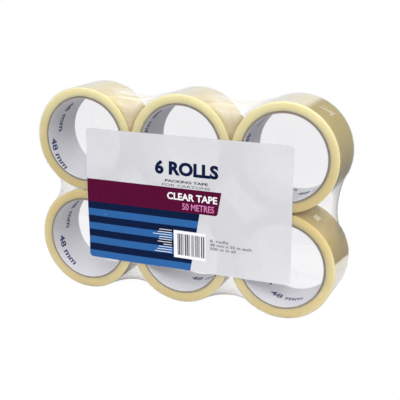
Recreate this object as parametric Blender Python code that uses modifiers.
"""A shrink-wrapped pack of six rolls of packing tape, in two rows of three, with a front label.

Metres, +Z up. The pack stands on its lower row, with the rolls' axes along Y. The origin is at
the bottom centre of its box, +X runs along the rows, and the labelled front faces -Y.
"""
import math

import bmesh
import bpy

# Driving dimensions.
TAPE_WIDTH = 0.048
ROLL_RADIUS = 0.0484
BORE_RADIUS = 0.0381
LINER_WALL = 0.0002
CORE_WALL = 0.00145
ROLL_PITCH = 0.0973
FILM_WALL = 0.00015
LABEL_SIZE = (0.201, 0.1255)
LABEL_WALL = 0.00015
LABEL_CORNER = 0.0035
LABEL_SHIFT = (0.0057, -0.0028)

# Gaps between pieces that touch on the real pack.
LINER_GAP = 0.00015
WINDING_GAP = 0.00025
FILM_GAP = 0.0003
LABEL_GAP = 0.0003
SEAM_GAP = 0.0003

# Every round surface has facets of one angle, and a flat facet faces each of +X, +Z, -X and -Z.
SEGMENTS = 48
FACET = 2 * math.pi / SEGMENTS

# The film leaves a roll this many facets past the point that faces straight out of the pack,
# and reaches its neighbour on an arc that curves the other way.
FACETS_PAST = 2.5
MERGE = 0.00001

COLUMNS = {"left": -1, "middle": 0, "right": 1}
ROWS = {"lower": -0.5, "upper": 0.5}

# Places that follow from the dimensions.
film_radius = ROLL_RADIUS + FILM_GAP / math.cos(FACET / 2)
film_flat = film_radius * math.cos(FACET / 2)
half_height = ROLL_PITCH / 2 + film_flat + FILM_WALL
half_bag = TAPE_WIDTH / 2 + FILM_GAP
roll_y = (LABEL_GAP + LABEL_WALL) / 2
film_front_y = roll_y - half_bag - FILM_WALL


def clear_scene():
    for item in list(bpy.data.objects):
        bpy.data.objects.remove(item, do_unlink=True)


def new_collection(name):
    collection = bpy.data.collections.new(name)
    bpy.context.scene.collection.children.link(collection)
    return collection


def make_material(name, colour, roughness, alpha=1.0):
    material = bpy.data.materials.new(name)
    material.use_nodes = True
    shader = material.node_tree.nodes["Principled BSDF"]
    shader.inputs["Base Color"].default_value = (*colour, 1.0)
    shader.inputs["Roughness"].default_value = roughness
    shader.inputs["Metallic"].default_value = 0.0
    shader.inputs["Alpha"].default_value = alpha
    return material


def add_object(name, data, collection, material):
    item = bpy.data.objects.new(name, data)
    collection.objects.link(item)
    item.data.materials.append(material)
    return item


def polar(centre, radius, angle):
    """A point at an angle round a centre in the XZ plane."""
    return (centre[0] + radius * math.cos(angle), centre[1] + radius * math.sin(angle))


def roll_centre(column, row):
    """A roll's centre in the XZ plane."""
    return (COLUMNS[column] * ROLL_PITCH, half_height + ROWS[row] * ROLL_PITCH)


def ring_profile(name, inner, outer):
    """Half the section of a plain ring, running down its outer side and up its bore."""
    half = TAPE_WIDTH / 2
    corners = [(outer, half), (outer, -half), (inner, -half), (inner, half)]
    mesh = bpy.data.meshes.new(name)
    edges = [(i, (i + 1) % len(corners)) for i in range(len(corners))]
    mesh.from_pydata([(x, 0.0, z) for x, z in corners], edges, [])
    return mesh


def add_ring(name, profile, axis, collection, material):
    """Turn a ring about a roll's axis, half a facet round so that flats face out of the pack."""
    ring = add_object(name, profile, collection, material)
    ring.parent = axis
    ring.rotation_euler = (math.pi / 2, FACET / 2, 0.0)
    screw = ring.modifiers.new("Turn", "SCREW")
    screw.steps = SEGMENTS
    screw.render_steps = SEGMENTS
    screw.use_merge_vertices = True
    screw.merge_threshold = MERGE
    screw.use_smooth_shade = True
    return ring


def add_roll(place, profiles, materials, collection):
    """One roll: an empty on its axis, which carries its tape winding, core and inner liner."""
    row, column = place
    x, z = roll_centre(column, row)
    axis = bpy.data.objects.new(f"{row}_{column}_axis", None)
    axis.location = (x, roll_y, z)
    collection.objects.link(axis)
    for piece, profile in profiles.items():
        add_ring(f"{row}_{column}_{piece}", profile, axis, collection, materials[piece])


def film_outline():
    """The film's inner outline in the XZ plane, counter-clockwise seen from the front."""
    past = FACETS_PAST * FACET
    bridge_radius = ROLL_PITCH / 2 / math.sin(past) - film_radius
    quarter = math.pi / 2
    # The roll, the direction in which its stretch of film starts, and how far round it runs.
    stretches = [
        ("right", "lower", -quarter, quarter),
        ("right", "upper", 0.0, quarter),
        ("middle", "upper", quarter, 0.0),
        ("left", "upper", quarter, quarter),
        ("left", "lower", 2 * quarter, quarter),
        ("middle", "lower", 3 * quarter, 0.0),
    ]
    points = []
    for column, row, facing, turn in stretches:
        centre = roll_centre(column, row)
        steps = round((turn + 2 * past) / FACET)
        points += [polar(centre, film_radius, facing - past + i * FACET) for i in range(steps + 1)]
        leaving = facing + turn + past
        bridge = polar(centre, film_radius + bridge_radius, leaving)
        steps = round(2 * past / FACET)
        back = leaving + math.pi
        points += [polar(bridge, bridge_radius, back - i * FACET) for i in range(1, steps)]
    return points


def add_film_half(name, side, collection, material):
    """Half of the film bag: a flat sheet over the rolls' faces and a wall to the middle seam.

    side is -1 for the front half and 1 for the back half.
    """
    sheet_y = roll_y + side * half_bag
    seam_y = roll_y + side * SEAM_GAP / 2
    mesh = bpy.data.meshes.new(name)
    shell = bmesh.new()
    corners = [shell.verts.new((x, sheet_y, z)) for x, z in film_outline()]
    sheet = shell.faces.new(corners)
    wall = bmesh.ops.extrude_edge_only(shell, edges=list(sheet.edges))
    rim = [item for item in wall["geom"] if isinstance(item, bmesh.types.BMVert)]
    bmesh.ops.translate(shell, verts=rim, vec=(0.0, seam_y - sheet_y, 0.0))
    bmesh.ops.recalc_face_normals(shell, faces=list(shell.faces))
    sheet.normal_update()
    if sheet.normal.y * side < 0:
        bmesh.ops.reverse_faces(shell, faces=list(shell.faces))
    shell.to_mesh(mesh)
    shell.free()
    mesh.shade_smooth()
    mesh.set_sharp_from_angle(angle=math.radians(40))
    half = add_object(name, mesh, collection, material)
    thickness = half.modifiers.new("Film thickness", "SOLIDIFY")
    thickness.thickness = FILM_WALL
    thickness.offset = 1.0
    thickness.use_even_offset = True


def add_label(collection, material):
    """The printed label, a thin plate with rounded corners on the front of the film."""
    outline = bpy.data.curves.new("label", "CURVE")
    outline.dimensions = "2D"
    outline.fill_mode = "BOTH"
    outline.extrude = LABEL_WALL / 2
    half_x = LABEL_SIZE[0] / 2 - LABEL_CORNER
    half_z = LABEL_SIZE[1] / 2 - LABEL_CORNER
    quarter = math.pi / 2
    steps = round(quarter / FACET)
    points = []
    for i, corner in enumerate([(half_x, half_z), (-half_x, half_z), (-half_x, -half_z), (half_x, -half_z)]):
        points += [polar(corner, LABEL_CORNER, i * quarter + j * FACET) for j in range(steps + 1)]
    spline = outline.splines.new("POLY")
    spline.points.add(len(points) - 1)
    for point, (x, z) in zip(spline.points, points):
        point.co = (x, z, 0.0, 1.0)
    spline.use_cyclic_u = True
    label = add_object("label", outline, collection, material)
    label.rotation_euler = (math.pi / 2, 0.0, 0.0)
    label_y = film_front_y - LABEL_GAP - LABEL_WALL / 2
    label.location = (LABEL_SHIFT[0], label_y, half_height + LABEL_SHIFT[1])


def main():
    clear_scene()
    pack = new_collection("tape_six_pack")
    materials = {
        "winding": make_material("amber tape", (0.58, 0.46, 0.19), 0.3),
        "core": make_material("kraft board", (0.38, 0.29, 0.18), 0.8),
        "liner": make_material("white paper", (0.75, 0.75, 0.78), 0.6),
        "film": make_material("clear film", (0.9, 0.9, 0.9), 0.1, alpha=0.2),
        "label": make_material("frosted label", (0.75, 0.74, 0.78), 0.4),
    }
    liner_outer = BORE_RADIUS + LINER_WALL
    core_inner = liner_outer + LINER_GAP
    core_outer = core_inner + CORE_WALL
    profiles = {
        "winding": ring_profile("winding", core_outer + WINDING_GAP, ROLL_RADIUS),
        "core": ring_profile("core", core_inner, core_outer),
        "liner": ring_profile("liner", BORE_RADIUS, liner_outer),
    }
    for row in ROWS:
        for column in COLUMNS:
            add_roll((row, column), profiles, materials, pack)
    add_film_half("film_front", -1, pack, materials["film"])
    add_film_half("film_back", 1, pack, materials["film"])
    add_label(pack, materials["label"])


main()
